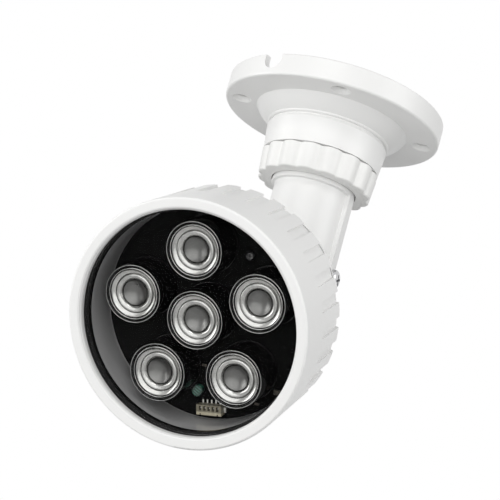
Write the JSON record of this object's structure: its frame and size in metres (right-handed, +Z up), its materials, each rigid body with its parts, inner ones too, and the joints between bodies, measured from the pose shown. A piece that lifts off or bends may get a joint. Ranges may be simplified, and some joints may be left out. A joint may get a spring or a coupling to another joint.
{
  "type": "infrared illuminator",
  "caption": "Round infrared lamp with lensed emitters behind a glass front, a screwed grip cap and a ceiling bracket that swivels and tilts.",
  "frame": {"origin": "middle of the bracket's mounting face", "axes": "+Z up into the ceiling, X along the lamp's hinge, the lamp points towards -Y and downwards"},
  "size_m": [0.09, 0.1555, 0.164],
  "materials": {
    "white_paint": "die casting under a smooth satin white powder coat",
    "white_plastic": "fine satin",
    "cap_paint": "die casting under a smooth satin white paint",
    "housing_paint": "die casting, satin white paint outside and a satin grey bore",
    "black_nylon": "moulded",
    "bright_chrome": "polished plating",
    "bright_steel": "zinc plated",
    "dark_steel": "black zinc",
    "black_fibre": "pressed fibre",
    "clear_glass": "polished",
    "black_rubber": "matt",
    "bare_aluminium": "milled",
    "black_board": "black solder mask",
    "green_board": "green solder mask",
    "chip_ceramic": "fired ends",
    "chip_resin": "moulded",
    "green_resin": "clear resin",
    "ivory_plastic": "moulded",
    "gold_pins": "gold flash",
    "brass": "turned",
    "copper_coil": "enamelled wire",
    "capacitor_sleeve": "shrunk sleeve",
    "emitter": "package with clear dome",
    "black_holder": "polished moulding",
    "lens_acrylic": "clear moulding that mirrors inside"
  },
  "bodies": {
    "base": {"base_flange": "white_paint"},
    "nut_carrier": {"thrust_washer": "black_nylon"},
    "nut": {"ring_nut": "white_plastic"},
    "arm": {"bracket_arm": "white_paint", "hinge_screw": "bright_chrome", "hinge_washer": "bright_steel", "hinge_nut": "bright_steel"},
    "window": {"front_glass": "clear_glass", "glass_gasket": "black_rubber"},
    "cap": {"front_cap": "cap_paint"},
    "lamp": {"friction_discs": "black_fibre", "main_housing": "housing_paint", "rear_cover": "white_paint", "rear_cover_seal": "black_rubber", "rear_cover_screws": "bright_steel", "cable_grommet": "black_rubber", "heat_spreader": "bare_aluminium", "led_board": "black_board", "board_screws": "dark_steel", "board_parts": "chip_ceramic", "photocell": "green_resin", "header_body": "ivory_plastic", "header_pins": "gold_pins", "driver_board": "green_board", "driver_standoffs": "brass", "driver_screws": "bright_steel", "driver_coil": "copper_coil", "driver_capacitors": "capacitor_sleeve", "driver_chips": "chip_resin", "led_1": "emitter", "holder_1": "black_holder", "lens_1": "lens_acrylic", "led_2": "emitter", "holder_2": "black_holder", "lens_2": "lens_acrylic", "led_3": "emitter", "holder_3": "black_holder", "lens_3": "lens_acrylic", "led_4": "emitter", "holder_4": "black_holder", "lens_4": "lens_acrylic", "led_5": "emitter", "holder_5": "black_holder", "lens_5": "lens_acrylic", "led_6": "emitter", "holder_6": "black_holder", "lens_6": "lens_acrylic"}
  },
  "joints": [
    {"name": "arm_swivel", "type": "hinge", "parent": "base", "child": "arm", "pos_m": [0, 0, -0.0323], "axis": [0, 0, 1], "range_deg": [-180, 180]},
    {"name": "lamp_tilt", "type": "hinge", "parent": "arm", "child": "lamp", "pos_m": [0, 0, -0.07298], "axis": [1, 0, 0], "range_deg": [-35, 150]},
    {"name": "nut_travel", "type": "slide", "parent": "base", "child": "nut_carrier", "axis": [0, 0, -1], "range_m": [0, 0.0051]},
    {"name": "nut_turn", "type": "hinge", "parent": "nut_carrier", "child": "nut", "pos_m": [0, 0, -0.0317], "axis": [0, 0, -1], "range_deg": [0, 900]},
    {"name": "window_travel", "type": "slide", "parent": "lamp", "child": "window", "axis": [0, -0.8469, -0.5317], "range_m": [0, 0.0121]},
    {"name": "cap_turn", "type": "hinge", "parent": "window", "child": "cap", "pos_m": [0, -0.08847, -0.12616], "axis": [0, -0.8469, -0.5317], "range_deg": [0, 1440]}
  ],
  "couplings": [
    {"joint": "nut_travel", "follows": "nut_turn", "m_per_rad": 0.00031831},
    {"joint": "window_travel", "follows": "cap_turn", "m_per_rad": 0.00047746}
  ]
}
